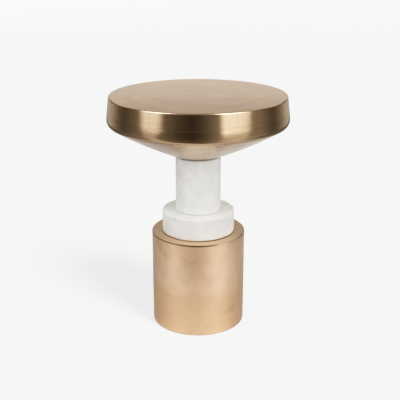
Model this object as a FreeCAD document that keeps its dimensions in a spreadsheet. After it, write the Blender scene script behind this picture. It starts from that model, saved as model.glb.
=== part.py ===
import FreeCAD, Part
import os
import re

import Sketcher

# A wine table: a spun brass dish on two turned marble blocks and a brass drum, drawn together by one tie rod.
# Millimetres, +Z up. The origin is on the floor, under the middle of the drum.

# Driving dimensions: name, value and what it measures
SIZES = [
    ("rim_diameter", 400, "widest part of the dish"),
    ("rim_rise", 84.7, "neck of the dish to its widest level"),
    ("band_height", 50.7, "widest level to the flat top"),
    ("band_slant", 6.25, "angle of the band from upright"),
    ("rim_corner", 15.5, "radius of the corner between band and underside"),
    ("bowl_radius", 1090, "radius of the gently rounded underside"),
    ("sheet_gauge", 1.2, "brass sheet of the dish"),
    ("top_bend", 1.3, "inside radius of the sheet at the edge of the flat top"),
    ("neck_bend", 0.8, "inside radius of the sheet at the edge of the neck"),
    ("neck_inset", 2.2, "how far the neck stands inside the column"),
    ("seam_lift", 15.7, "widest level to the seam between pan and bowl"),
    ("seam_gap", 0.2, "width of that seam"),
    ("joggle_reach", 9, "how far the bowl's stepped edge stands up inside the pan"),
    ("joggle_bend", 3, "height of each half of the bend below that step"),
    ("joggle_fit", 0.15, "room between the stepped edge and the pan"),
    ("core_thickness", 18, "board under the flat top"),
    ("hub_plate_diameter", 150, "steel plate under the board"),
    ("hub_plate_thickness", 5, "steel plate under the board"),
    ("hub_tube_diameter", 50, "steel tube between plate and neck"),
    ("hub_tube_wall", 3, "wall of that tube"),
    ("plug_margin", 4, "clear ring between the threaded plug and the edge of the neck"),
    ("plug_thickness", 14, "threaded plug in the neck"),
    ("plug_chamfer", 2, "chamfer on the plug's upper edge"),
    ("screw_count", 6, "screws between plate and board"),
    ("screw_circle", 112, "diameter of the circle they stand on"),
    ("screw_diameter", 5, "screw shank"),
    ("screw_cover", 7, "board left above the screws' ends"),
    ("screw_rim", 2.25, "how far a screw's head stands out beyond its shank"),
    ("screw_head_height", 3, "screw head"),
    ("screw_head_radius", 1.6, "rounding of the screw head"),
    ("screw_clearance", 0.1, "room around a screw in its holes"),
    ("pilot_spare", 2, "pilot hole beyond the screw's end"),
    ("column_diameter", 101.5, "upper marble block"),
    ("column_height", 125.4, "upper marble block"),
    ("collar_diameter", 163, "lower marble block"),
    ("collar_height", 48.7, "lower marble block"),
    ("stone_edge", 1.8, "rounding of the marble edges"),
    ("gasket_thickness", 0.5, "rubber discs between the blocks"),
    ("gasket_inset", 2, "gasket's edge inside the flat it lies on"),
    ("sleeve_wall", 3.2, "plastic sleeve in the marble bores"),
    ("sleeve_clearance", 0.3, "room around the sleeve"),
    ("sleeve_end_gap", 0.6, "sleeve's end below the neck"),
    ("rod_diameter", 12, "tie rod"),
    ("rod_clearance", 0.5, "room around the rod in plain holes"),
    ("thread_clearance", 0.05, "room around the rod in threaded holes"),
    ("rod_projection", 3, "rod beyond its nuts"),
    ("rod_chamfer", 1.2, "chamfer on the rod's ends"),
    ("nut_wall", 3, "nuts from the rod to their flats"),
    ("nut_height", 10.8, "nut under the base weight"),
    ("jam_nut_height", 6, "thin nut above the plug"),
    ("nut_chamfer", 0.8, "height of the turned chamfer on the nuts"),
    ("washer_rim", 5.5, "plain washer from its hole to its edge"),
    ("washer_thickness", 2.5, "plain washer"),
    ("lock_washer_rim", 4, "split washer from its hole to its edge"),
    ("lock_washer_thickness", 2.5, "split washer"),
    ("lock_washer_split", 12, "angle of the split"),
    ("drum_diameter", 212, "drum"),
    ("drum_height", 219, "drum"),
    ("drum_gauge", 1.5, "brass sheet of the drum"),
    ("drum_bend", 0.9, "inside radius of the sheet at the drum's upper edge"),
    ("drum_lift", 2, "drum's lower edge above the floor"),
    ("drum_fit", 0.3, "room between the drum and the discs inside it"),
    ("top_plate_thickness", 5, "steel disc under the drum's top"),
    ("post_diameter", 34, "steel tube inside the drum"),
    ("post_wall", 3, "wall of that tube"),
    ("post_fit", 0.2, "room between the post and its spigot"),
    ("weight_roof", 12.2, "cast base weight above its recess"),
    ("weight_draft", 2, "draft angle of the casting"),
    ("weight_edge", 3, "rounding of the casting's upper edge"),
    ("spigot_height", 5, "spigot on the weight that centres the post"),
    ("recess_diameter", 50, "recess under the weight for the nut"),
    ("recess_spare", 3, "recess beyond the rod's end"),
    ("felt_thickness", 3, "felt ring on the floor"),
    ("felt_inset", 4, "felt's edge inside the weight's edge"),
]
JOGGLE_ROOT_SHARE = 0.5  # where in the wall's thickness the stepped edge springs from

doc = FreeCAD.newDocument("WineTable")
sheet = doc.addObject("Spreadsheet::Sheet", "Sizes")
for row, (alias, value, note) in enumerate(SIZES, start=1):
    sheet.set(f"A{row}", note)
    sheet.set(f"B{row}", str(value))
    sheet.setAlias(f"B{row}", alias)
doc.recompute()

SIZE_NAMES = re.compile(r"\b(" + "|".join(alias for alias, value, note in SIZES) + r")\b")
ORIGIN = (-1, 1)  # the sketch's own origin, as a constraint names it
START, END, CENTRE = 1, 2, 3  # the points of a line or an arc, as a constraint names them
SAME_PLACE = 0.001  # two heights closer than this are one


def bound(text):
    """An expression in the sheet's names, as an object of the document reads it."""
    return SIZE_NAMES.sub(r"Sizes.\1", text)


def measure(text):
    """The present value of such an expression."""
    return float(sheet.evalExpression(text))


def new_body(label, level):
    """An empty sub-part whose own zero height stands at a level of the table."""
    body = doc.addObject("PartDesign::Body", label)
    body.Label = label
    body.setExpression("Placement.Base.z", bound(level))
    return body


def origin_feature(body, role):
    """One of the body's own planes or axes."""
    return [item for item in body.Origin.OriginFeatures if item.Role == role][0]


def new_sketch(body, name, plane):
    """An empty sketch on one of the body's own planes."""
    sketch = body.newObject("Sketcher::SketchObject", name)
    sketch.AttachmentSupport = (origin_feature(body, plane), "")
    sketch.MapMode = "FlatFace"
    return sketch


def drive(sketch, kind, points, text):
    """A dimension of the sketch that follows an expression."""
    place = sketch.addConstraint(Sketcher.Constraint(kind, *points, measure(text)))
    sketch.setExpression(f"Constraints[{place}]", bound(text))


def hold(sketch, point, across, up):
    """Hold a point of the sketch at its two distances from the sketch's origin."""
    drive(sketch, "DistanceX", (*ORIGIN, *point), across)
    drive(sketch, "DistanceY", (*ORIGIN, *point), up)


def outline(body, name, corners, plane="XZ_Plane"):
    """A closed sketch of straight runs from corner to corner, each corner a pair of expressions."""
    sketch = new_sketch(body, name, plane)
    points = [FreeCAD.Vector(measure(across), measure(up), 0) for across, up in corners]
    for start, end in zip(points, points[1:] + points[:1]):
        sketch.addGeometry(Part.LineSegment(start, end), False)
    for run, (across, up) in enumerate(corners):
        before = (run - 1) % len(corners)
        sketch.addConstraint(Sketcher.Constraint("Coincident", before, END, run, START))
        hold(sketch, (run, START), across, up)
    return sketch


def circle(body, name, diameter, across="0"):
    """A sketch of one circle, its middle on the body's X axis."""
    sketch = new_sketch(body, name, "XY_Plane")
    middle = FreeCAD.Vector(measure(across), 0, 0)
    sketch.addGeometry(Part.Circle(middle, FreeCAD.Vector(0, 0, 1), measure(diameter) / 2), False)
    drive(sketch, "Diameter", (0,), diameter)
    hold(sketch, (0, CENTRE), across, "0")
    return sketch


def turn(body, name, sketch, kind="PartDesign::Revolution"):
    """A section turned about the body's axis, or cut away so by a groove."""
    feature = body.newObject(kind, name)
    feature.Profile = sketch
    feature.ReferenceAxis = (sketch, ["V_Axis"])
    doc.recompute()
    return feature


def turned(body, name, corners):
    """A solid of revolution with a straight-sided section."""
    return turn(body, name, outline(body, f"{name}_section", corners))


def disc(body, name, radius, thickness):
    """A plain turned disc."""
    return turned(body, name, [("0", "0"), (radius, "0"), (radius, thickness), ("0", thickness)])


def tube(body, name, inner, outer, length):
    """A plain turned ring or tube."""
    return turned(body, name, [(inner, "0"), (outer, "0"), (outer, length), (inner, length)])


def pad(body, name, sketch, length):
    """A sketch raised to a length."""
    feature = body.newObject("PartDesign::Pad", name)
    feature.Profile = sketch
    feature.setExpression("Length", bound(length))
    doc.recompute()
    return feature


def drill(body, name, diameter, across="0", depth=None):
    """A straight hole up from the body's zero height, to a depth or right through."""
    before = body.Shape.Volume
    feature = body.newObject("PartDesign::Pocket", name)
    feature.Profile = circle(body, f"{name}_circle", diameter, across)
    feature.Reversed = True
    if depth:
        feature.setExpression("Length", bound(depth))
    else:
        feature.Type = "ThroughAll"
    doc.recompute()
    if body.Shape.Volume >= before:
        raise RuntimeError(f"{body.Label}: {name} cuts nothing")
    return feature


def around(body, name, features):
    """The features repeated evenly about the axis, once for each screw."""
    pattern = body.newObject("PartDesign::PolarPattern", name)
    pattern.Originals = features
    pattern.Axis = (origin_feature(body, "Z_Axis"), [""])
    pattern.setExpression("Occurrences", bound("screw_count"))
    body.Tip = pattern
    doc.recompute()


def at_level(shapes, kind, level):
    """The names of the edges or faces that lie flat at one height of the body."""
    height = measure(level)
    names = []
    for number, shape in enumerate(shapes, start=1):
        box = shape.BoundBox
        if abs(box.ZMin - height) < SAME_PLACE and abs(box.ZMax - height) < SAME_PLACE:
            names.append(f"{kind}{number}")
    return names


def round_off(body, name, base, level, radius):
    """The outermost edge at one height rounded."""
    rings = at_level(base.Shape.Edges, "Edge", level)
    outermost = max(rings, key=lambda ring: base.Shape.getElement(ring).BoundBox.XMax)
    feature = body.newObject("PartDesign::Fillet", name)
    feature.Base = (base, [outermost])
    feature.setExpression("Radius", bound(radius))
    doc.recompute()
    return feature


def chamfer(body, name, base, level, size):
    """Every edge at one height chamfered."""
    feature = body.newObject("PartDesign::Chamfer", name)
    feature.Base = (base, at_level(base.Shape.Edges, "Edge", level))
    feature.setExpression("Size", bound(size))
    doc.recompute()
    return feature


def hollow(body, name, base, open_level, wall):
    """A solid made a sheet of even wall inside its own surface, open where its flat face was."""
    feature = body.newObject("PartDesign::Thickness", name)
    feature.Base = (base, at_level(base.Shape.Faces, "Face", open_level))
    feature.setExpression("Value", bound(wall))
    feature.Reversed = True
    doc.recompute()


# Heights within single pieces
recess_depth = "(washer_thickness + lock_washer_thickness + nut_height + rod_projection + recess_spare)"
weight_height = f"({recess_depth} + weight_roof)"
screw_length = "(hub_plate_thickness + core_thickness - screw_cover)"
top_rise = "(rim_rise + band_height)"
seam_rise = "(rim_rise + seam_lift)"

# Levels of the stack, from the floor up
weight_top = f"(felt_thickness + {weight_height})"
washer_foot = f"(felt_thickness + {recess_depth} - washer_thickness)"
lock_washer_foot = f"({washer_foot} - lock_washer_thickness)"
nut_foot = f"({lock_washer_foot} - nut_height)"
rod_foot = f"({nut_foot} - rod_projection)"
drum_top = "(drum_lift + drum_height)"
top_plate_foot = f"({drum_top} - drum_gauge - top_plate_thickness)"
collar_foot = f"({drum_top} + gasket_thickness)"
collar_top = f"({collar_foot} + collar_height)"
column_foot = f"({collar_top} + gasket_thickness)"
column_top = f"({column_foot} + column_height)"
neck = f"({column_top} + gasket_thickness)"
plug_foot = f"({neck} + sheet_gauge)"
plug_top = f"({plug_foot} + plug_thickness)"
rod_top = f"({plug_top} + jam_nut_height + rod_projection)"
core_foot = f"({neck} + {top_rise} - sheet_gauge - core_thickness)"
hub_plate_foot = f"({core_foot} - hub_plate_thickness)"

# Widths that several pieces share
rod_hole = "(rod_diameter + 2 * rod_clearance)"
threaded_hole = "(rod_diameter + 2 * thread_clearance)"
stone_bore = f"({rod_hole} + 2 * sleeve_wall + 2 * sleeve_clearance)"
screw_hole = "(screw_diameter + 2 * screw_clearance)"
screw_offset = "(screw_circle / 2)"
disc_radius = "(drum_diameter / 2 - drum_gauge - drum_fit)"
post_inside = "(post_diameter / 2 - post_wall)"
collar_flat = "(collar_diameter / 2 - stone_edge)"
column_flat = "(column_diameter / 2 - stone_edge)"
neck_radius = "(column_diameter / 2 - neck_inset)"
neck_edge_radius = "(sheet_gauge + neck_bend)"
neck_flat = f"({neck_radius} - {neck_edge_radius})"
top_edge_radius = "(sheet_gauge + top_bend)"
drum_edge_radius = "(drum_gauge + drum_bend)"
corner_offset = "(rim_diameter / 2 - rim_corner)"


def band_radius(rise, sheets=0):
    """Radius of the slanted band at a height above the neck, outside or a number of sheets further in."""
    depth = f"(rim_corner - {sheets} * sheet_gauge)"
    return f"({corner_offset} + ({depth} - ({rise} - rim_rise) * sin(band_slant)) / cos(band_slant))"


def felt_base_ring():
    """Felt glued under the weight: the face that stands on the floor."""
    body = new_body("felt_base_ring", "0")
    tube(body, "ring", "recess_diameter / 2", f"{disc_radius} - felt_inset", "felt_thickness")


def base_weight():
    """Iron casting with drafted sides, a recess below for the nut and a spigot above for the post."""
    recess = "(recess_diameter / 2)"
    bore = f"({rod_hole} / 2)"
    spigot = f"({post_inside} - post_fit)"
    shoulder = f"({disc_radius} - {weight_height} * tan(weight_draft))"
    spigot_top = f"({weight_height} + spigot_height)"
    body = new_body("base_weight", "felt_thickness")
    casting = turned(body, "casting", [
        (recess, "0"), (disc_radius, "0"), (shoulder, weight_height), (spigot, weight_height),
        (spigot, spigot_top), (bore, spigot_top), (bore, recess_depth), (recess, recess_depth),
    ])
    round_off(body, "upper_edge", casting, weight_height, "weight_edge")


def plain_washer():
    """Flat steel washer against the roof of the recess."""
    body = new_body("plain_washer", washer_foot)
    tube(body, "ring", f"{rod_hole} / 2", f"{rod_hole} / 2 + washer_rim", "washer_thickness")


def lock_washer():
    """Spring washer, pressed flat by the nut, with its split."""
    body = new_body("lock_washer", lock_washer_foot)
    edge = f"{rod_hole} / 2 + lock_washer_rim"
    ring = tube(body, "ring", f"{rod_hole} / 2", edge, "lock_washer_thickness")
    ring.setExpression("Angle", bound("360 - lock_washer_split"))


def nut(label, level, height):
    """Hexagon nut, its corners turned off at both faces."""
    body = new_body(label, level)
    flat = "(rod_diameter / 2 + nut_wall)"
    corner = f"({flat} / cos(30))"
    hexagon = [(f"{corner} * cos({60 * side})", f"{corner} * sin({60 * side})") for side in range(6)]
    pad(body, "hexagon", outline(body, "hexagon_outline", hexagon, "XY_Plane"), height)
    drill(body, "thread", threaded_hole)
    chamfers = {"foot": ("0", "nut_chamfer"), "top": (height, f"{height} - nut_chamfer")}
    for end, (face, side) in chamfers.items():
        section = outline(body, f"{end}_chamfer_section", [(flat, face), (corner, face), (corner, side)])
        turn(body, f"{end}_chamfer", section, "PartDesign::Groove")


def drum_post():
    """Steel tube that stands on the weight and carries the drum's top."""
    body = new_body("drum_post", weight_top)
    tube(body, "tube", post_inside, "post_diameter / 2", f"{top_plate_foot} - {weight_top}")


def drum_top_plate():
    """Steel disc under the drum's thin top, chamfered to clear the drum's rounded corner."""
    body = new_body("drum_top_plate", top_plate_foot)
    plate = disc(body, "plate", disc_radius, "top_plate_thickness")
    chamfer(body, "corner_chamfer", plate, "top_plate_thickness", drum_edge_radius)
    drill(body, "rod_hole", rod_hole)


def drum_shell():
    """Brass drum of one even wall, closed on top and open below."""
    body = new_body("drum_shell", "drum_lift")
    form = disc(body, "form", "drum_diameter / 2", "drum_height")
    edge = round_off(body, "upper_edge", form, "drum_height", drum_edge_radius)
    hollow(body, "wall", edge, "0", "drum_gauge")
    drill(body, "rod_hole", rod_hole)


def gasket(label, level, flat):
    """Thin rubber disc, set in from the edge of the flat it lies on, so that the joint shows as a thin line."""
    body = new_body(label, level)
    tube(body, "disc", f"{stone_bore} / 2", f"{flat} - gasket_inset", "gasket_thickness")


def marble_block(label, level, diameter, height):
    """Turned marble cylinder with eased edges, bored for the rod's sleeve."""
    body = new_body(label, level)
    block = disc(body, "block", f"{diameter} / 2", height)
    foot = round_off(body, "foot_edge", block, "0", "stone_edge")
    round_off(body, "top_edge", foot, height, "stone_edge")
    drill(body, "bore", stone_bore)


def rod_sleeve():
    """Plastic tube in the marble bores, which stands on the drum's top and centres both blocks on the rod."""
    body = new_body("rod_sleeve", drum_top)
    inner = f"{rod_hole} / 2"
    tube(body, "tube", inner, f"{inner} + sleeve_wall", f"{neck} - {drum_top} - sleeve_end_gap")


def tie_rod():
    """One steel rod from the nut under the weight to the plug in the neck."""
    body = new_body("tie_rod", rod_foot)
    length = f"({rod_top} - {rod_foot})"
    rod = pad(body, "rod", circle(body, "rod_circle", "rod_diameter"), length)
    foot = chamfer(body, "foot_chamfer", rod, "0", "rod_chamfer")
    chamfer(body, "top_chamfer", foot, length, "rod_chamfer")


def bowl_section(body):
    """Half section of the bowl's outer form, from the neck over underside and corner up to the seam."""
    section = new_sketch(body, "bowl_section", "XZ_Plane")
    neck_middle = FreeCAD.Vector(0, 0, 0)
    neck_edge = FreeCAD.Vector(measure(neck_radius), 0, 0)
    corner_middle = FreeCAD.Vector(measure(corner_offset), measure("rim_rise"), 0)
    corner_radius = measure("rim_corner")
    seam_edge = FreeCAD.Vector(measure(band_radius(seam_rise)), measure(seam_rise), 0)
    seam_middle = FreeCAD.Vector(0, measure(seam_rise), 0)

    # The arcs are drawn near their places, and the tangents between them settle where they meet
    chord = corner_middle - neck_edge
    square = FreeCAD.Vector(chord.y, -chord.x, 0).normalize()
    touch = corner_middle + square * corner_radius
    bow = square * (chord.Length ** 2 / measure("8 * bowl_radius"))
    outward = FreeCAD.Vector(1, 0, 0)
    corner_circle = Part.Circle(corner_middle, FreeCAD.Vector(0, 0, 1), corner_radius)

    flat, underside, corner, band, lid, axis = range(6)
    section.addGeometry([
        Part.LineSegment(neck_middle, neck_edge),
        Part.Arc(neck_edge, (neck_edge + touch) / 2 + bow, touch),
        Part.ArcOfCircle(corner_circle, -outward.getAngle(square), 0),
        Part.LineSegment(corner_middle + outward * corner_radius, seam_edge),
        Part.LineSegment(seam_edge, seam_middle),
        Part.LineSegment(seam_middle, neck_middle),
    ], False)
    for before, after in ((flat, underside), (band, lid), (lid, axis), (axis, flat)):
        section.addConstraint(Sketcher.Constraint("Coincident", before, END, after, START))
    for before, after in ((underside, corner), (corner, band)):
        section.addConstraint(Sketcher.Constraint("Tangent", before, END, after, START))
    hold(section, (flat, START), "0", "0")
    hold(section, (flat, END), neck_radius, "0")
    hold(section, (corner, CENTRE), corner_offset, "rim_rise")
    hold(section, (lid, START), band_radius(seam_rise), seam_rise)
    hold(section, (lid, END), "0", seam_rise)
    drive(section, "Radius", (underside,), "bowl_radius")
    drive(section, "Radius", (corner,), "rim_corner")
    return section


def under_bowl():
    """Spun bowl of one even sheet, whose upper edge is stepped in so that the pan closes over it flush."""
    body = new_body("under_bowl", neck)
    form = turn(body, "form", bowl_section(body))
    neck_corner = round_off(body, "neck_corner", form, "0", neck_edge_radius)
    hollow(body, "wall", neck_corner, seam_rise, "sheet_gauge")
    bend_foot = f"({seam_rise} - 2 * joggle_bend)"
    bend_top = f"({seam_rise} - joggle_bend)"
    edge_top = f"({seam_rise} + joggle_reach)"
    turned(body, "stepped_edge", [
        (band_radius(bend_foot, JOGGLE_ROOT_SHARE), bend_foot),
        (band_radius(seam_rise, JOGGLE_ROOT_SHARE), seam_rise),
        (f"{band_radius(seam_rise, 1)} - joggle_fit", seam_rise),
        (f"{band_radius(edge_top, 1)} - joggle_fit", edge_top),
        (f"{band_radius(edge_top, 2)} - joggle_fit", edge_top),
        (f"{band_radius(bend_top, 2)} - joggle_fit", bend_top),
    ])
    drill(body, "rod_hole", rod_hole)


def hub_plug():
    """Thick steel disc that lies in the neck and takes the rod's thread."""
    body = new_body("hub_plug", plug_foot)
    plug = disc(body, "plug", f"{neck_flat} - plug_margin", "plug_thickness")
    chamfer(body, "upper_chamfer", plug, "plug_thickness", "plug_chamfer")
    drill(body, "thread", threaded_hole)


def hub_tube():
    """Steel tube that carries the board past the thin bowl."""
    body = new_body("hub_tube", plug_top)
    outer = "hub_tube_diameter / 2"
    tube(body, "tube", f"{outer} - hub_tube_wall", outer, f"{hub_plate_foot} - {plug_top}")


def hub_plate():
    """Steel plate on the tube, drilled for the screws into the board."""
    body = new_body("hub_plate", hub_plate_foot)
    disc(body, "plate", "hub_plate_diameter / 2", "hub_plate_thickness")
    around(body, "screw_holes", [drill(body, "screw_hole", screw_hole, screw_offset)])


def core_screws():
    """Pan-head screws, driven up through the plate into the board."""
    body = new_body("core_screws", f"{hub_plate_foot} - screw_head_height")
    head_circle = circle(body, "head_circle", "screw_diameter + 2 * screw_rim", screw_offset)
    head = pad(body, "head", head_circle, "screw_head_height")
    dome = round_off(body, "head_dome", head, "0", "screw_head_radius")
    shank_circle = circle(body, "shank_circle", "screw_diameter", screw_offset)
    shank = pad(body, "shank", shank_circle, f"screw_head_height + {screw_length}")
    around(body, "screws", [head, dome, shank])


def core_board():
    """Wooden disc bonded under the flat top, with blind pilot holes for the screws."""
    body = new_body("core_board", core_foot)
    disc(body, "board", f"{band_radius(top_rise, 1)} - {top_edge_radius}", "core_thickness")
    pilot_depth = f"{screw_length} - hub_plate_thickness + pilot_spare"
    around(body, "pilot_holes", [drill(body, "pilot_hole", screw_hole, screw_offset, pilot_depth)])


def top_pan():
    """Spun pan: the flat top, its rounded edge and the slanted skirt down to the seam, in one even sheet."""
    body = new_body("top_pan", neck)
    skirt_foot = f"({seam_rise} + seam_gap)"
    form = turned(body, "form", [
        ("0", skirt_foot), (band_radius(skirt_foot), skirt_foot),
        (band_radius(top_rise), top_rise), ("0", top_rise),
    ])
    edge = round_off(body, "top_edge", form, top_rise, top_edge_radius)
    hollow(body, "wall", edge, skirt_foot, "sheet_gauge")


felt_base_ring()
base_weight()
plain_washer()
lock_washer()
nut("rod_nut", nut_foot, "nut_height")
drum_post()
drum_top_plate()
drum_shell()
gasket("collar_gasket", drum_top, collar_flat)
marble_block("marble_collar", collar_foot, "collar_diameter", "collar_height")
gasket("column_gasket", collar_top, column_flat)
marble_block("marble_column", column_foot, "column_diameter", "column_height")
rod_sleeve()
tie_rod()
gasket("neck_gasket", column_top, neck_flat)
under_bowl()
hub_plug()
nut("jam_nut", plug_top, "jam_nut_height")
hub_tube()
hub_plate()
core_screws()
core_board()
top_pan()
doc.recompute()

failed = [item.Name for item in doc.Objects if "Invalid" in item.State or "Error" in item.State]
if failed:
    raise RuntimeError(f"failed features: {failed}")
pieces = [item for item in doc.Objects if item.TypeId == "PartDesign::Body"]
for piece in pieces:
    if piece.Shape.isNull() or not piece.Shape.isValid():
        raise RuntimeError(f"{piece.Label} has no valid shape")

os.makedirs("parts", exist_ok=True)
for piece in pieces:
    piece.Shape.exportStep(f"parts/{piece.Label}.step")
    print(f"{piece.Label}: {len(piece.Shape.Solids)} solid(s), {piece.Shape.Volume:.0f} mm3")
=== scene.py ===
import math

import bpy
from mathutils import Matrix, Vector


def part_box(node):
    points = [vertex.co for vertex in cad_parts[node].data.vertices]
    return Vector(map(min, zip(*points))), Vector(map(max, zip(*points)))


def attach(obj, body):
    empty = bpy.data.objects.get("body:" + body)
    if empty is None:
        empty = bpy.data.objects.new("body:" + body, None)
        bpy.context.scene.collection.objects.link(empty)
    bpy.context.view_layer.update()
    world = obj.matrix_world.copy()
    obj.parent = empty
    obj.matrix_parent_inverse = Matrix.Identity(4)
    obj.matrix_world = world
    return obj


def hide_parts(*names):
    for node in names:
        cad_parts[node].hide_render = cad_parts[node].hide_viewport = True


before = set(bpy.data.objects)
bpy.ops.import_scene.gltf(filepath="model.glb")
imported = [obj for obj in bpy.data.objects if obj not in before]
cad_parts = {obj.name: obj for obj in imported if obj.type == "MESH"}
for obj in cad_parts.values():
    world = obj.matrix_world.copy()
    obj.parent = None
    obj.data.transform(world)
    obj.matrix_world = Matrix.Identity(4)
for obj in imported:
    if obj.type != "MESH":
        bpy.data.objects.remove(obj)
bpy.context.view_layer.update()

# Base weight: a grey iron casting with drafted sides, set in the foot of the drum.
# Its sand-cast skin is painted black, and the rod's nut sits in the recess below.


class Wire:
    """A socket of a node tree; sums and products of wires add Math nodes to that tree."""

    def __init__(self, tree, socket=None):
        self.tree = tree
        self.socket = socket

    def node(self, kind, settings=None, sockets=None, output=0):
        """Adds a node of any kind: its settings first, then the values or wires of its sockets."""
        made = self.tree.nodes.new(kind)
        for name, value in (settings or {}).items():
            setattr(made, name, value)
        for key, value in (sockets or {}).items():
            if isinstance(value, Wire):
                self.tree.links.new(value.socket, made.inputs[key])
            else:
                made.inputs[key].default_value = value
        return Wire(self.tree, made.outputs[output] if made.outputs else None)

    def also(self, output):
        """Another output of the node that this wire comes from."""
        return Wire(self.tree, self.socket.node.outputs[output])

    def math(self, operation, *terms):
        """Adds a Math node that works on wires or plain numbers."""
        return self.node("ShaderNodeMath", {"operation": operation}, dict(enumerate(terms)))

    def __add__(self, other):
        return self.math("ADD", self, other)

    def __radd__(self, other):
        return self.math("ADD", other, self)

    def __sub__(self, other):
        return self.math("SUBTRACT", self, other)

    def __rsub__(self, other):
        return self.math("SUBTRACT", other, self)

    def __mul__(self, other):
        return self.math("MULTIPLY", self, other)

    def __rmul__(self, other):
        return self.math("MULTIPLY", other, self)

    def __truediv__(self, other):
        return self.math("DIVIDE", self, other)

    def __rtruediv__(self, other):
        return self.math("DIVIDE", other, self)

    def ramp(self, low, high):
        """0 where this wire is at low or past it, 1 at high or past it, and a soft step between."""
        ends = {"Value": self, "From Min": low, "From Max": high}
        return self.node("ShaderNodeMapRange", {"interpolation_type": "SMOOTHSTEP"}, ends)

    def tint(self, first, second):
        """A colour that goes from first to second as this wire goes from 0 to 1."""
        colours = {0: self, 6: first, 7: second}
        return self.node("ShaderNodeMix", {"data_type": "RGBA"}, colours, 2)


def bare_material(name):
    """An empty material, and a wire to build its nodes from."""
    material = bpy.data.materials.new(name)
    material.use_nodes = True
    material.node_tree.nodes.clear()
    return material, Wire(material.node_tree)


def place_on(paint):
    """Where a point lies on the object, in metres."""
    return paint.node("ShaderNodeTexCoord", output="Object")


def noise(paint, place, length, detail=2.0, rough=0.5):
    """Soft cloudy values between 0 and 1, with spots about that length in metres across."""
    sockets = {"Vector": place, "Scale": 1 / length, "Detail": detail, "Roughness": rough}
    return paint.node("ShaderNodeTexNoise", {}, sockets)


def bumps(paint, height, depth):
    """A shading normal for a relief of that depth in metres."""
    return paint.node("ShaderNodeBump", {}, {"Height": height, "Distance": depth})


def surface(paint, sockets):
    """Ends a material in a Principled shader with those values and wires."""
    shader = paint.node("ShaderNodeBsdfPrincipled", {}, sockets)
    paint.node("ShaderNodeOutputMaterial", {}, {"Surface": shader})


def wear(material, *nodes):
    """Gives CAD nodes that material."""
    for node in nodes:
        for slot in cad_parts[node].material_slots:
            slot.material = material


iron, paint = bare_material("painted cast iron")
place = place_on(paint)
sand = noise(paint, place, length=0.0016, detail=4.0, rough=0.6)
dust = noise(paint, place, length=0.03).ramp(0.45, 0.75)
surface(paint, {
    "Base Color": dust.tint((0.016, 0.016, 0.017, 1), (0.042, 0.040, 0.038, 1)),
    "Roughness": 0.5 + 0.25 * sand,
    "Normal": bumps(paint, sand, depth=0.0004),
})
wear(iron, "base_weight")

# Felt ring: wool felt cut with a die and glued under the weight, soft at its cut edges.
# It is the only piece that stands on the floor.


def arc(middle, radius, start, end, steps):
    """Points of an arc in the half section, as (radius, height), between two angles in degrees."""
    turns = [math.radians(start + (end - start) * step / steps) for step in range(steps + 1)]
    return [(middle[0] + radius * math.cos(turn), middle[1] + radius * math.sin(turn))
            for turn in turns]


def eased(before, corner, after, radius, steps=8):
    """Points of the round edge that takes the place of a sharp corner of the half section."""
    here = complex(*corner)
    inward = (complex(*before) - here) / abs(complex(*before) - here)
    onward = (complex(*after) - here) / abs(complex(*after) - here)
    half = abs(math.remainder(math.atan2((onward / inward).imag, (onward / inward).real), math.tau)) / 2
    first = here + inward * radius / math.tan(half)
    last = here + onward * radius / math.tan(half)
    middle = here + (inward + onward) / abs(inward + onward) * radius / math.sin(half)
    sweep = math.remainder(
        math.atan2((last - middle).imag, (last - middle).real)
        - math.atan2((first - middle).imag, (first - middle).real), math.tau)
    spokes = [(first - middle) * complex(math.cos(sweep * step / steps), math.sin(sweep * step / steps))
              for step in range(steps + 1)]
    return [((middle + spoke).real, (middle + spoke).imag) for spoke in spokes]


def half_section(corners, closed=True):
    """Points of a half section: corners are (radius, height) or (radius, height, edge radius)."""
    points = []
    for spot, corner in enumerate(corners):
        at_end = not closed and spot in (0, len(corners) - 1)
        if len(corner) == 2 or at_end:
            points.append(corner[:2])
        else:
            after = corners[(spot + 1) % len(corners)]
            points += eased(corners[spot - 1][:2], corner[:2], after[:2], corner[2])
    return points + points[:1] if closed else points


def ringed(points, spacing):
    """The same points, with more between those far apart, and close ones that keep each edge crisp."""
    edge_share = 1 / 16
    made = []
    edge = spacing * edge_share
    for one, two in zip(points, points[1:]):
        made.append(one)
        length = math.dist(one, two)
        if length > spacing:
            count = math.ceil(length / spacing)
            shares = [edge / length, *(step / count for step in range(1, count)), 1 - edge / length]
            made += [(one[0] + (two[0] - one[0]) * share, one[1] + (two[1] - one[1]) * share)
                     for share in shares]
    return made + points[-1:]


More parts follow.
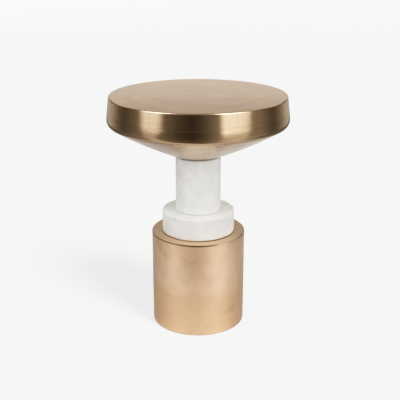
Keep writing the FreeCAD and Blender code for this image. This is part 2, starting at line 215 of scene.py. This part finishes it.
def lathe_tree():
    """Turns a half section about Z, as a lathe does, with the slight ripple of a hand-worked face."""
    weld_distance = 1e-6
    tree = bpy.data.node_groups.new("lathe", "GeometryNodeTree")
    inputs = {"Section": "Geometry", "Steps round": "Int", "Ripple height": "Float",
              "Ripple length": "Float", "Finish": "Material"}
    for name, kind in inputs.items():
        tree.interface.new_socket(name, in_out="INPUT", socket_type="NodeSocket" + kind)
    tree.interface.new_socket("Piece", in_out="OUTPUT", socket_type="NodeSocketGeometry")
    spin = Wire(tree)
    section = spin.node("NodeGroupInput", output="Section")
    steps = section.also("Steps round")
    count = spin.node("GeometryNodeAttributeDomainSize", {"component": "MESH"}, {"Geometry": section})
    sheet = spin.node("GeometryNodeMeshGrid", {}, {"Vertices X": steps + 1, "Vertices Y": count})
    index = spin.node("GeometryNodeInputIndex")
    ring = spin.math("FLOOR", (index + 0.5) / count)
    spot = spin.node("GeometryNodeInputPosition")
    sampled = {"Geometry": section, "Value": spot, "Index": index - ring * count}
    corner = spin.node("GeometryNodeSampleIndex", {"data_type": "FLOAT_VECTOR"}, sampled)
    turning = {"Vector": corner, "Angle": ring * math.tau / steps}
    round_it = spin.node("ShaderNodeVectorRotate", {"rotation_type": "Z_AXIS"}, turning)
    wrapped = spin.node("GeometryNodeSetPosition", {}, {"Geometry": sheet, "Position": round_it})
    ends = {"Geometry": wrapped, "Distance": weld_distance}
    closed = spin.node("GeometryNodeMergeByDistance", {}, ends)
    waves = {"Vector": spot, "Scale": 1 / section.also("Ripple length"), "Detail": 1.0}
    depth = spin.node("ShaderNodeTexNoise", {}, waves) * section.also("Ripple height")
    inward = {0: spin.node("GeometryNodeInputNormal"), "Scale": 0 - depth}
    offset = spin.node("ShaderNodeVectorMath", {"operation": "SCALE"}, inward)
    worked = spin.node("GeometryNodeSetPosition", {}, {"Geometry": closed, "Offset": offset})
    smooth = spin.node("GeometryNodeSetShadeSmooth", {}, {"Geometry": worked})
    whole = spin.node("GeometryNodeRealizeInstances", {}, {"Geometry": smooth})
    finish = {"Geometry": whole, "Material": section.also("Finish")}
    clad = spin.node("GeometryNodeSetMaterial", {}, finish)
    spin.node("NodeGroupOutput", {}, {"Piece": clad})
    return tree


lathe = lathe_tree()


def turned(name, points, finish, ripple_height=0.0, ripple_length=1.0, steps_round=192):
    """Turns a half section into a mesh object."""
    line = bpy.data.meshes.new(name + "_section")
    edges = [(spot, spot + 1) for spot in range(len(points) - 1)]
    line.from_pydata([(radius, 0, height) for radius, height in points], edges, [])
    piece = bpy.data.objects.new(name, line)
    bpy.context.scene.collection.objects.link(piece)
    modifier = piece.modifiers.new("lathe", "NODES")
    modifier.node_group = lathe
    sizes = {"Steps round": steps_round, "Ripple height": ripple_height, "Ripple length": ripple_length,
             "Finish": finish}
    for item in lathe.interface.items_tree:
        if item.name in sizes:
            modifier[item.identifier] = sizes[item.name]
    worked = piece.evaluated_get(bpy.context.evaluated_depsgraph_get())
    piece.data = bpy.data.meshes.new_from_object(worked)
    piece.modifiers.clear()
    return piece


def turned_piece(node, points, finish, slot, **sizes):
    """Turns a half section into the piece that stands for a CAD node."""
    piece = turned(node + "_turned", points, finish, **sizes)
    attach(piece, "root")
    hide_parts(node)
    return piece


felt, paint = bare_material("wool felt")
place = place_on(paint)
fibre = noise(paint, place, length=0.0012, detail=5.0, rough=0.7)
surface(paint, {
    "Base Color": fibre.tint((0.020, 0.019, 0.018, 1), (0.075, 0.070, 0.064, 1)),
    "Roughness": 1.0,
    "Sheen Weight": 0.4,
    "Normal": bumps(paint, fibre, depth=0.0006),
})
low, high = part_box("felt_base_ring")
felt_hole = 0.025
felt_edge = 0.0008
felt_spacing = 0.004
turned_piece("felt_base_ring", ringed(half_section([
    (felt_hole, low.z, felt_edge), (high.x, low.z, felt_edge),
    (high.x, high.z, felt_edge), (felt_hole, high.z, felt_edge),
]), felt_spacing), felt, "felt", ripple_height=0.0002, ripple_length=0.004)

# Tie rod, nuts, washers and screws: bought steel fasteners, bright zinc plated.
# The rod draws the whole stack together between the nut under the weight and the plug in the neck.
zinc, paint = bare_material("bright zinc plate")
place = place_on(paint)
spangle = noise(paint, place, length=0.004, detail=3.0)
surface(paint, {
    "Base Color": spangle.tint((0.50, 0.51, 0.53, 1), (0.66, 0.66, 0.64, 1)),
    "Metallic": 1.0,
    "Roughness": 0.24 + 0.2 * spangle,
    "Normal": bumps(paint, noise(paint, place, length=0.0005), depth=0.00004),
})
wear(zinc, "tie_rod", "rod_nut", "lock_washer", "plain_washer", "jam_nut", "core_screws")

# Drum post, drum top plate and hub: mild steel tube and plate, cut and turned.
# Left with a dark mill skin, they carry the clamp load of the rod past the thin brass.
steel, paint = bare_material("mild steel")
place = place_on(paint)
scale = noise(paint, place, length=0.012, detail=5.0, rough=0.65)
surface(paint, {
    "Base Color": scale.ramp(0.35, 0.7).tint((0.10, 0.10, 0.11, 1), (0.30, 0.30, 0.31, 1)),
    "Metallic": 1.0,
    "Roughness": 0.34 + 0.3 * scale,
    "Normal": bumps(paint, scale, depth=0.0001),
})
wear(steel, "drum_post", "drum_top_plate", "hub_plate", "hub_tube", "hub_plug")

# Drum: brass sheet rolled and closed with a flat top, brushed round and lacquered in a rose gold tone.
# The rod clamps its top between the collar and the plate inside.
# Handling has left soft blotches in the lacquer.
low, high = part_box("drum_shell")
drum_radius = high.x
drum_wall = 0.0015
drum_edge = 0.0024
sheet_lip = 0.0002
rod_hole = 0.0065
ring_spacing = 0.006
collar_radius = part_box("marble_collar")[1].x


def about_axis(paint, place):
    """A point's distance from the Z axis, its direction from that axis in two parts, and its height."""
    off_axis = 1e-6
    x = paint.node("ShaderNodeSeparateXYZ", {}, {"Vector": place})
    across = paint.math("SQRT", x * x + x.also("Y") * x.also("Y")) + off_axis
    return across, x / across, x.also("Y") / across, x.also("Z")


def drawn_noise(paint, place, turns, length):
    """Noise drawn out about the Z axis: fewer turns make longer marks, and length is their width."""
    across, east, north, level = about_axis(paint, place)
    spot = {"X": east * turns, "Y": north * turns, "Z": across / length}
    sockets = {"Vector": paint.node("ShaderNodeCombineXYZ", {}, spot), "W": level / length,
               "Scale": 1.0, "Detail": 4.0, "Roughness": 0.6}
    return paint.node("ShaderNodeTexNoise", {"noise_dimensions": "4D"}, sockets)


def brass(name, finish, gloss, haze, lacquer=0.0, line_depth=0.00003):
    """Brushed brass: a clear reflection with a hazy one over it, fine lines round the axis and low waves.

    The finish is a function that gives the colour and the share of the hazy reflection."""
    wave_depth = 3.5
    material, paint = bare_material(name)
    place = place_on(paint)
    lines = drawn_noise(paint, place, turns=1.5, length=0.004)
    waves = drawn_noise(paint, place, turns=5.0, length=0.014)
    colour, share = finish(paint, place, lines)
    shared = {
        "Base Color": colour,
        "Metallic": 1.0,
        "Anisotropic": 0.3,
        "Anisotropic Rotation": 0.25,
        "Coat Weight": lacquer,
        "Coat Roughness": 0.12,
        "Normal": bumps(paint, lines + wave_depth * waves, line_depth),
    }
    uneven = 0.88 + 0.24 * lines
    clear, hazy = (
        paint.node("ShaderNodeBsdfPrincipled", {}, {**shared, "Roughness": uneven * roughness})
        for roughness in (gloss, haze))
    both = paint.node("ShaderNodeMixShader", {}, {0: share, 1: clear, 2: hazy})
    paint.node("ShaderNodeOutputMaterial", {}, {"Surface": both})
    return material


def mark(paint, place, where, across, width, reach, waves=0.008):
    """A wavy mark through a place on a piece, square to a direction, that fades out at its reach."""
    kind = "ShaderNodeVectorMath"
    span = paint.node(kind, {"operation": "SUBTRACT"}, {0: place, 1: where})
    offset = paint.node(kind, {"operation": "DOT_PRODUCT"}, {0: span, 1: across}, "Value")
    distance = paint.node(kind, {"operation": "LENGTH"}, {0: span}, "Value")
    drift = (noise(paint, place, length=0.012, detail=3.0) - 0.5) * waves
    line = 1 - paint.math("ABSOLUTE", offset + drift).ramp(0, width)
    return line * (1 - distance.ramp(reach / 3, reach))


def drum_finish(paint, place, lines):
    """Rose brass with patches and rub marks, golden below, painted shade and a painted dark reflection on
    the bend.

    North is -1 at the front of the table, and east is 1 at its right."""
    across, east, north, level = about_axis(paint, place)
    blotch = drawn_noise(paint, place, turns=2.2, length=0.03).ramp(0.35, 0.7)
    patch = noise(paint, place, length=0.028, detail=3.0, rough=0.6).ramp(0.4, 0.7)
    clouded = 0.45 * blotch + 0.43 * patch + 0.12 * lines
    rose = clouded.tint((0.92, 0.69, 0.51, 1), (0.78, 0.58, 0.43, 1))

    middle = (low.z + high.z) / 2
    foot = 0.7 * (1 - level.ramp(middle - 0.03, middle + 0.01))
    warmed = foot.tint(rose, (0.79, 0.555, 0.365, 1))

    ring_width = 0.0024
    ring = 1 - paint.math("ABSOLUTE", level - middle).ramp(0, ring_width)
    rubs = drawn_noise(paint, place, turns=3.5, length=0.006).ramp(0.6, 0.8)
    left_rub = mark(paint, place, where=(-0.0770, -0.0730, 0.1900), across=(0.31, -0.32, 0.89),
                    width=0.016, reach=0.034, waves=0.016)
    front_rub = mark(paint, place, where=(-0.0047, -0.1059, 0.181), across=(0, 0, 1),
                     width=0.007, reach=0.03)
    right_rub = mark(paint, place, where=(0.0700, -0.0796, 0.0527), across=(0, 0, 1),
                     width=0.014, reach=0.026, waves=0.016)
    handled = left_rub + 0.6 * front_rub + right_rub
    marked = (0.25 * ring * blotch + 0.2 * rubs + 0.2 * handled).tint(warmed, (0.48, 0.33, 0.18, 1))

    # Painted shade: the top face of the drum is darker and more olive, as it lies under the dish.
    on_top = level.ramp(high.z - drum_edge / 4, high.z)
    top_in_shade = (0.7 * on_top).tint(marked, (0.70, 0.54, 0.38, 1))

    # Painted shade on the drum top round the foot of the collar, strongest at the front.
    shade_inside, shade_outside, shade_end = 0.001, 0.0012, 0.0032
    at_collar = across.ramp(collar_radius - shade_inside, collar_radius) * (
        1 - across.ramp(collar_radius + shade_outside, collar_radius + shade_end))
    collar_joint_shade = at_collar * (1 - 0.7 * north.ramp(-0.8, -0.1))
    # Painted dark reflection of the dark room on the bend of the top edge, left off on the right where
    # the bend catches a highlight, and fading toward the back.
    on_bend = across.ramp(drum_radius - drum_edge, drum_radius - drum_edge / 2) * level.ramp(
        high.z - 1.7 * drum_edge, high.z - 0.7 * drum_edge)
    highlight_on_bend = 0.6 * east.ramp(0.3, 0.5) * (1 - east.ramp(0.75, 0.95))
    toward_front = (1 - 0.35 * north.ramp(-0.95, -0.6)) * (1 - 0.7 * north.ramp(-0.55, 0.0))
    dark_reflection_on_bend = on_bend * (1 - highlight_on_bend) * toward_front
    # Painted shade along the lip at the foot of the drum.
    lip_height = 0.003
    lip = 0.35 * (1 - level.ramp(low.z, low.z + lip_height))
    # Painted shade: the top face is darker still away from the front.
    top_back_shade = 0.1 * on_top * north.ramp(-0.9, -0.5)
    dark = (0.9 * collar_joint_shade + dark_reflection_on_bend + lip + top_back_shade).tint(top_in_shade, (0.20, 0.12, 0.06, 1))
    return dark, 0.8 + 0.1 * blotch + 0.08 * on_top


drum_brass = brass("rose brass", drum_finish, gloss=0.24, haze=0.62, lacquer=0.4, line_depth=0.000012)
drum = turned_piece("drum_shell", ringed(half_section([
    (drum_radius, low.z, sheet_lip), (drum_radius, high.z, drum_edge), (rod_hole, high.z, sheet_lip),
    (rod_hole, high.z - drum_wall, sheet_lip),
    (drum_radius - drum_wall, high.z - drum_wall, drum_edge - drum_wall),
    (drum_radius - drum_wall, low.z, sheet_lip),
]), ring_spacing), drum_brass, "drum_brass", ripple_height=0.0001, ripple_length=0.07)

# Gaskets: discs punched from thin pale rubber sheet, between drum, collar, column and neck.
# They are set in from the edges, so that each joint shows as a fine line.
rubber, paint = bare_material("pale rubber")
place = place_on(paint)
bloom = noise(paint, place, length=0.008, detail=4.0)
surface(paint, {
    "Base Color": bloom.tint((0.62, 0.57, 0.50, 1), (0.54, 0.49, 0.42, 1)),
    "Roughness": 0.6 + 0.3 * bloom,
    "Normal": bumps(paint, noise(paint, place, length=0.0008), depth=0.00005),
})
wear(rubber, "collar_gasket", "column_gasket", "neck_gasket")

# Collar and column: white marble, turned, bored for the rod's sleeve, honed and eased at the edges.
# The stone has faint grey clouds, a few thin veins and small pits.
stone_edge = 0.0018
stone_bore = 0.010
collar_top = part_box("marble_collar")[1].z
marble, paint = bare_material("white marble")
place = place_on(paint)
cloud = noise(paint, place, length=0.035, detail=4.0, rough=0.6).ramp(0.35, 0.75)
level = paint.node("ShaderNodeSeparateXYZ", {}, {"Vector": place}, "Z")
# Painted light: the column and the collar's top face are painted paler, less so on the lower column,
# against the shade of the dish above them.
on_column = level.ramp(collar_top - 0.0012, collar_top)
column_foot = level.ramp(collar_top + 0.0002, collar_top + 0.0048) * (
    1 - level.ramp(collar_top + 0.0498, collar_top + 0.1198))
pale = on_column * (1 - 0.5 * column_foot)
white = (1 - 0.6 * pale - 0.4 * cloud).tint((0.905, 0.90, 0.88, 1), (0.68, 0.67, 0.65, 1))
left_vein = mark(paint, place, where=(-0.0237, -0.0445, 0.351), across=(-0.5, 0.1, 0.86),
                 width=0.0012, reach=0.022)
front_vein = mark(paint, place, where=(0.002, -0.0507, 0.318), across=(0.85, 0.0, -0.5),
                  width=0.0010, reach=0.016)
back_vein = mark(paint, place, where=(0.03, 0.041, 0.30), across=(0.6, 0.2, 0.77),
                 width=0.0012, reach=0.03)
collar_vein = mark(paint, place, where=(0.05, -0.064, 0.245), across=(-0.6, 0.0, 0.8),
                   width=0.0010, reach=0.02)
veins = left_vein + front_vein + back_vein + collar_vein
speck = mark(paint, place, where=(-0.0521, -0.0626, 0.2665), across=(0.77, -0.64, 0),
             width=0.0015, reach=0.0042, waves=0.0005)
pit = mark(paint, place, where=(0.0645, 0.027, collar_top), across=(1, 0, 0),
           width=0.0040, reach=0.0055, waves=0.002)
veined = (0.35 * veins).tint(white, (0.52, 0.50, 0.47, 1))
surface(paint, {
    "Base Color": (0.8 * speck + 0.6 * pit).tint(veined, (0.14, 0.12, 0.10, 1)),
    "Roughness": 0.42 + 0.1 * cloud,
    "Specular IOR Level": 0.35,
    "Subsurface Weight": 0.4,
    "Subsurface Radius": (1.0, 0.9, 0.8),
    "Subsurface Scale": 0.014,
    "Normal": bumps(paint, noise(paint, place, length=0.004, detail=4.0) - 20 * pit, depth=0.00004),
})
for block in ("marble_collar", "marble_column"):
    low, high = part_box(block)
    turned_piece(block, ringed(half_section([
        (stone_bore, low.z, sheet_lip), (high.x, low.z, stone_edge),
        (high.x, high.z, stone_edge), (stone_bore, high.z, sheet_lip),
    ]), ring_spacing), marble, "white_marble", ripple_height=0.00003, ripple_length=0.05)

# Sleeve: white plastic tube in the bores of both stones, which centres them on the rod.
# It is cut from plain extruded tube.
plastic, paint = bare_material("sleeve plastic")
place = place_on(paint)
drawn = noise(paint, place, length=0.003, detail=3.0)
surface(paint, {
    "Base Color": drawn.tint((0.66, 0.66, 0.63, 1), (0.76, 0.76, 0.74, 1)),
    "Roughness": 0.4 + 0.15 * drawn,
    "Normal": bumps(paint, drawn, depth=0.00003),
})
wear(plastic, "rod_sleeve")

# Bowl: the underside of the dish, spun from one brass disc over a form, then brushed as it turned.
# The rod clamps its flat neck to the column, and its stepped edge stands inside the pan.
low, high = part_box("under_bowl")
sheet_gauge = 0.0012
rim_radius = high.x
rim_corner = 0.0155
rim_height = 0.0847
rim_level = low.z + rim_height
bowl_radius = 1.090
neck_radius = 0.04855
neck_edge = 0.0012
band_slant = 6.25
seam_height = 0.0157
seam_level = rim_level + seam_height
joggle_bend = 0.003
joggle_fit = 0.00015
roll_turn = 2.5
roll_radius = 0.275
under_steps = 24
corner_steps = 20
roll_steps = 10
seam_line = 0.0004
corner_middle = (rim_radius - rim_corner, rim_level)


def band_radius(level, sheets=0):
    """Radius of the slanted band at a height, outside or a number of sheets further in."""
    slant = math.radians(band_slant)
    depth = rim_corner - sheets * sheet_gauge
    return corner_middle[0] + (depth - (level - rim_level) * math.sin(slant)) / math.cos(slant)


def bowl_middle():
    """Middle of the wide arc of the underside, which starts at the neck and runs into the corner."""
    neck = complex(neck_radius, low.z)
    span = complex(*corner_middle) - neck
    reach = bowl_radius - rim_corner
    along = (bowl_radius ** 2 - reach ** 2 + abs(span) ** 2) / (2 * abs(span))
    aside = math.sqrt(bowl_radius ** 2 - along ** 2)
    middle = neck + span / abs(span) * complex(along, aside)
    return middle.real, middle.imag


def bowl_line(inside=0.0):
    """The bowl's line from neck to seam, on its outer face or that far inside the sheet."""
    middle = bowl_middle()
    start = math.degrees(math.atan2(low.z - middle[1], neck_radius - middle[0]))
    turn = math.degrees(math.atan2(corner_middle[1] - middle[1], corner_middle[0] - middle[0]))
    under = arc(middle, bowl_radius - inside, start, turn, under_steps)
    corner = arc(corner_middle, rim_corner - inside, turn, band_slant, corner_steps)
    seam = (band_radius(seam_level, inside / sheet_gauge), seam_level)
    return under + corner[1:] + [seam]


def rolled(line):
    """The outer line with the band rolled in a little below the seam, as spinning leaves it."""
    spin = math.radians(roll_turn)
    depth = (roll_radius - rim_corner) * (1 - math.cos(spin))
    lean = math.radians(band_slant)
    middle = corner_middle[0] - depth * math.cos(lean), corner_middle[1] - depth * math.sin(lean)
    hub = [spot - (roll_radius - rim_corner) * turn(lean - spin)
           for spot, turn in zip(middle, (math.cos, math.sin))]
    under = [(radius - depth * (radius - neck_radius) / (corner_middle[0] - neck_radius), level)
             for radius, level in line[:under_steps + 1]]
    corner = [(radius - depth * math.cos(lean), level - depth * math.sin(lean))
              for radius, level in line[under_steps + 1:-1]
              if level - corner_middle[1] < rim_corner * math.sin(lean - spin)]
    face = arc(hub, roll_radius, band_slant - roll_turn, band_slant, roll_steps)
    lip = seam_level - sheet_lip / 2
    return under[:-1] + corner + face + [(band_radius(lip), lip), line[-1]]


outer = rolled(bowl_line())
inner = bowl_line(sheet_gauge)
neck_outer = eased((rod_hole, low.z), outer[0], outer[1], neck_edge)
inner_floor = (inner[0][0], low.z + sheet_gauge)
step_foot = seam_level + joggle_bend
step_outer = [(band_radius(level, 1) - joggle_fit, level) for level in (step_foot, high.z)]
step_inner = [(radius - sheet_gauge, level) for radius, level in reversed(step_outer)]


def bowl_finish(paint, place, lines):
    """Plain brass that dulls in soft blotches."""
    blotch = noise(paint, place, length=0.045, detail=3.0).ramp(0.35, 0.72)
    seam = about_axis(paint, place)[3].ramp(seam_level - seam_line, seam_level)
    plain = (0.4 * blotch + 0.6 * lines).tint((0.68, 0.505, 0.345, 1), (0.61, 0.455, 0.31, 1))
    return (0.35 * seam).tint(plain, (0.25, 0.16, 0.09, 1)), 0.1 + 0.1 * blotch


bowl_brass = brass("spun brass", bowl_finish, gloss=0.12, haze=0.36)
turned_piece("under_bowl", ringed(
    [(rod_hole, low.z)] + neck_outer + outer[1:] + step_outer + step_inner + inner[::-1]
    + [inner_floor, (rod_hole, low.z + sheet_gauge), (rod_hole, low.z)], ring_spacing),
    bowl_brass, "spun_brass", ripple_height=0.0001, ripple_length=0.06, steps_round=256)

# Core board: a wooden disc bonded under the thin brass top, so that the top is flat and quiet.
# The hub plate is screwed to it from below.
wood, paint = bare_material("core board")
place = place_on(paint)
grain_place = paint.node("ShaderNodeMapping", {}, {"Vector": place, "Scale": (4.0, 60.0, 60.0)})
grain = paint.node("ShaderNodeTexNoise", {}, {"Vector": grain_place, "Scale": 4.0, "Detail": 5.0})
surface(paint, {
    "Base Color": grain.ramp(0.3, 0.7).tint((0.50, 0.33, 0.18, 1), (0.33, 0.19, 0.09, 1)),
    "Roughness": 0.6 + 0.2 * grain,
    "Normal": bumps(paint, grain, depth=0.0002),
})
wear(wood, "core_board")

# Top pan: the flat top and the upper band, spun from brass sheet and brushed in rings as it turned.
# Its skirt closes over the bowl's stepped edge, flush with the lower band.
low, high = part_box("top_pan")
top_edge = 0.0025


def pan_finish(paint, place, lines):
    """Plain brass: soft rings on the flat top, pinker in its middle, and streaks up and down the band."""
    across, level = about_axis(paint, place)[::3]
    rings = drawn_noise(paint, place, turns=1.2, length=0.025).ramp(0.3, 0.7)
    streaks = drawn_noise(paint, place, turns=8.0, length=0.3).ramp(0.3, 0.7)
    on_top = level.ramp(high.z - top_edge / 3, high.z)
    band = (0.4 * streaks + 0.6 * lines).tint((0.725, 0.54, 0.375, 1), (0.595, 0.445, 0.305, 1))
    flat = (0.7 * rings + 0.3 * lines).tint((0.71, 0.465, 0.265, 1), (0.58, 0.385, 0.235, 1))
    # The middle of the flat top is painted pinker.
    pinker_middle = (0.6 - 0.6 * across.ramp(0.02, 0.12)).tint(flat, (0.667, 0.458, 0.305, 1))
    seam = 0.35 * (1 - level.ramp(low.z, low.z + seam_line))
    colour = seam.tint(on_top.tint(band, pinker_middle), (0.25, 0.16, 0.09, 1))
    return colour, 0.1 + 0.16 * streaks * (1 - on_top)


pan_brass = brass("brushed brass", pan_finish, gloss=0.12, haze=0.36)
foot_radius = band_radius(low.z)
rim_top = band_radius(high.z)
turned_piece("top_pan", ringed(half_section([
    (0.0, high.z - sheet_gauge), (rim_top - sheet_gauge, high.z - sheet_gauge, top_edge - sheet_gauge),
    (foot_radius - sheet_gauge, low.z, sheet_lip), (foot_radius, low.z, sheet_lip),
    (rim_top, high.z, top_edge), (0.0, high.z),
], closed=False), ring_spacing), pan_brass, "spun_brass",
    ripple_height=0.0001, ripple_length=0.06, steps_round=256)

# Stage: a pale sweep that fills the view from every side, and a white table top that the metal mirrors.
# The sweep glows a little and shows to the camera alone, so the shadow on it stays faint.
# A white floor under both gives the soft light from below.
sweep_radius = 9.0
sweep_bend = 3.0
sweep_height = 7.0
sweep_spacing = 1.0
sweep_paper, paint = bare_material("pale sweep")
surface(paint, {"Base Color": (0.1, 0.1, 0.1, 1), "Roughness": 1.0, "Specular IOR Level": 0.0,
                "Emission Color": (1, 1, 1, 1), "Emission Strength": 1.09})
sweep_curve = arc((sweep_radius - sweep_bend, sweep_bend), sweep_bend, -90, 0, 12)
sweep_line = [(0.0, 0.0), *sweep_curve, (sweep_radius, sweep_height)]
sweep = turned("stage_sweep", ringed(sweep_line, sweep_spacing), sweep_paper)


def between(value, low_end, high_end, blur):
    """1 between two values, with soft ends."""
    return value.ramp(low_end - blur, low_end + blur) * (
        1 - value.ramp(high_end - blur, high_end + blur))


table_paper, paint = bare_material("white table")
sideways = paint.node("ShaderNodeSeparateXYZ", {}, {"Vector": place_on(paint)})
ahead = sideways.also("Y")
beside = paint.math("ABSOLUTE", sideways)
# Shade on the table top round the drum, as the corner and the underside of the dish mirror it.
near_drum = between(beside, 0.09, 0.46, 0.05) * between(ahead, -0.15, 0.3, 0.1)
left_back = (1 - sideways.ramp(-0.16, -0.04)) * ahead.ramp(0.1, 0.3)
drum_shade = (0.45 + 0.1 * (1 - sideways.ramp(-0.1, 0.1))) * near_drum
front_shade = 0.15 * (1 - ahead.ramp(-0.2, 0.0))
behind = between(beside, 0.08, 0.125, 0.012) * between(ahead, 0.2, 0.43, 0.05)
back_shade = (0.26 - 0.12 * sideways.ramp(-0.05, 0.05)) * behind
edge_shade = 0.9 * beside.ramp(0.45, 0.60)
# The table top glows with this painted light, and every shade on it is a painted shadow.
lit = ahead.ramp(-0.42, -0.30) * (1 - 0.25 * ahead.ramp(0.0, 0.4))
for shade in (edge_shade, drum_shade, 0.2 * left_back, front_shade, back_shade):
    lit = lit * (1 - shade)
surface(paint, {
    "Base Color": lit.tint((0.1, 0.1, 0.1, 1), (0.48, 0.48, 0.48, 1)),
    "Roughness": 1.0,
    "Specular IOR Level": 0.0,
    "Emission Color": lit.tint((0.05, 0.05, 0.05, 1), (0.405, 0.405, 0.405, 1)),
    "Emission Strength": 1.0,
})
bounce_paper, paint = bare_material("white floor")
surface(paint, {"Base Color": (0.72, 0.72, 0.72, 1), "Roughness": 1.0, "Specular IOR Level": 0.0})
table_radius = 1.6
table_back = 1.16
table_drop = -0.0003
bounce_radius = 3.0
bounce_drop = 4 * table_drop
table_top = turned("stage_table", [(0.0, table_drop), (table_radius, table_drop)], table_paper)
table_top.data.transform(Matrix.Translation((0, table_back, 0)))
table_top.visible_camera = False
table_top.visible_diffuse = False
bounce = turned("stage_bounce", [(0.0, bounce_drop), (bounce_radius, bounce_drop)], bounce_paper)
bounce.visible_camera = False
bounce.visible_glossy = False
for seen_by in ("visible_diffuse", "visible_glossy", "visible_transmission", "visible_shadow"):
    setattr(sweep, seen_by, False)

# Studio: soft boxes left and right of the camera, a bright backdrop behind the table, light from above,
# and a dark room in front, which the polished band mirrors between the boxes. Places are in degrees:
# bearing is 0 toward the camera and positive to the right, and height is 0 at the horizon.
world = bpy.data.worlds.new("studio")
bpy.context.scene.world = world
world.use_nodes = True
world.node_tree.nodes.clear()
sky = Wire(world.node_tree)
toward = sky.node("ShaderNodeTexCoord", output="Generated")
east = sky.node("ShaderNodeSeparateXYZ", {}, {"Vector": toward})
bearing = sky.math("ARCTAN2", east, 0 - east.also("Y")) * math.degrees(1)
height = sky.math("ARCSINE", east.also("Z")) * math.degrees(1)
# The boxes narrow toward the floor. Pools are their light on it, and tails the dim light beside them.
taper = 1 - height.ramp(-5, -1)
left_span = between(bearing, 6 * taper - 76, -45 - 6 * taper, 5)
right_span = between(bearing, 29 + 0.5 * taper, 67 - 4 * taper, 5)
left_box = 3.95 * left_span * between(height, -4.1, 65, 2.2)
right_box = (6.1 - 0.035 * bearing) * right_span * between(height, -3.9, 65, 2.4)
boxes = (left_box + right_box) * (0.5 - 0.36 * height.ramp(2, 4.5) + 1.08 * height.ramp(9, 14))
pools = 0.5 * (left_span + right_span) * (1 - height.ramp(-6, -4))
tails = 0.2 * between(bearing, -100, -27, 20) + 0.38 * between(bearing, 13, 96, 20)
spill = tails * (1 - height.ramp(20, 60))
aside = sky.math("ABSOLUTE", bearing)
far_floor = 0.75 * aside.ramp(97, 145) * (1 - height.ramp(-3, 3))
side_floor = 0.2 * between(aside, 50, 100, 20) * (1 - height.ramp(-25, -9))
wall = 0.57 + 0.86 * (1 - height.ramp(9, 14.5)) + 0.3 * between(height, 18, 26, 3)
backdrop = aside.ramp(135, 172) * height.ramp(-3, 3) * wall * (1 - height.ramp(25, 40))
overhead = between(bearing, -77, -42, 6) + between(bearing, 31, 67, 6)
top_light = 4.2 * overhead * between(height, 18, 72, 6)
back_light = between(aside, 115, 165, 12) * between(height, 22, 62, 6)
side_walls = 0.25 * between(aside, 105, 155, 10) * between(height, 11, 35, 5)
ceiling = 0.36 * height.ramp(40, 60) + side_walls
front_wall = 0.7 * (1 - aside.ramp(15, 35)) * between(height, 14, 45, 4)
room = 0.11 + 0.05 * (1 - height.ramp(-6.5, -4)) + 0.08 * (1 - height.ramp(-40, -6))
light = (room + boxes + pools + spill + far_floor + side_floor + backdrop + top_light + back_light
         + front_wall + ceiling)
warmth = light.ramp(0.1, 1.5).tint((0.79, 0.765, 0.69, 1), (0.80, 0.80, 0.80, 1))
glow = sky.node("ShaderNodeBackground", {}, {"Color": warmth, "Strength": light})
sky.node("ShaderNodeOutputWorld", {}, {"Surface": glow})

# Shadow lamp: a soft light far to the right, in front of the table.
# It shines on the sweep alone and is shaded by the drum alone, which gives the faint shadow on the left.
lamp_tilt = 62
lamp_turn = 43
lamp = bpy.data.lights.new("shadow lamp", "SUN")
lamp.energy = 18.0
lamp.angle = math.radians(20)
lamp_stand = bpy.data.objects.new("stage_lamp", lamp)
lamp_stand.rotation_euler = (math.radians(lamp_tilt), 0, math.radians(lamp_turn))
bpy.context.scene.collection.objects.link(lamp_stand)
sweep_alone = bpy.data.collections.new("lit by the shadow lamp")
sweep_alone.objects.link(sweep)
lamp_stand.light_linking.receiver_collection = sweep_alone
drum_alone = bpy.data.collections.new("shades the shadow lamp")
drum_alone.objects.link(drum)
lamp_stand.light_linking.blocker_collection = drum_alone

# Tone curve of the camera: a soft toe, which keeps the dark metal deep,
# and a soft shoulder, which keeps the light patches on the brass from burning out.
tone_strength = 1.35
tone_contrast = 1.55
tone_range = 4.0
tone_points = 12
settings = bpy.context.scene.view_settings
settings.view_transform = "Standard"
settings.use_curve_mapping = True
tone = settings.curve_mapping
tone.white_level = (tone_range,) * 3
curve = tone.curves[3]
for spot in range(1, tone_points):
    share = (spot / tone_points) ** 2
    curve.points.new(share, 1 - math.exp(-tone_strength * (share * tone_range) ** tone_contrast))
tone.update()

# Camera: a long lens on a stand in front of the table, tilted down.
# The photograph's height, distance and angle were found from the outlines of the table.
camera_right = 0.0040
camera_distance = 1.600
camera_height = 0.846
camera_tilt = 19.165
camera = bpy.data.cameras.new("camera")
camera.sensor_width = 36.0
camera.lens = 67.13
viewer = bpy.data.objects.new("camera", camera)
viewer.location = (camera_right, -camera_distance, camera_height)
viewer.rotation_euler = (math.radians(90 - camera_tilt), 0, 0)
bpy.context.scene.collection.objects.link(viewer)
bpy.context.scene.camera = viewer
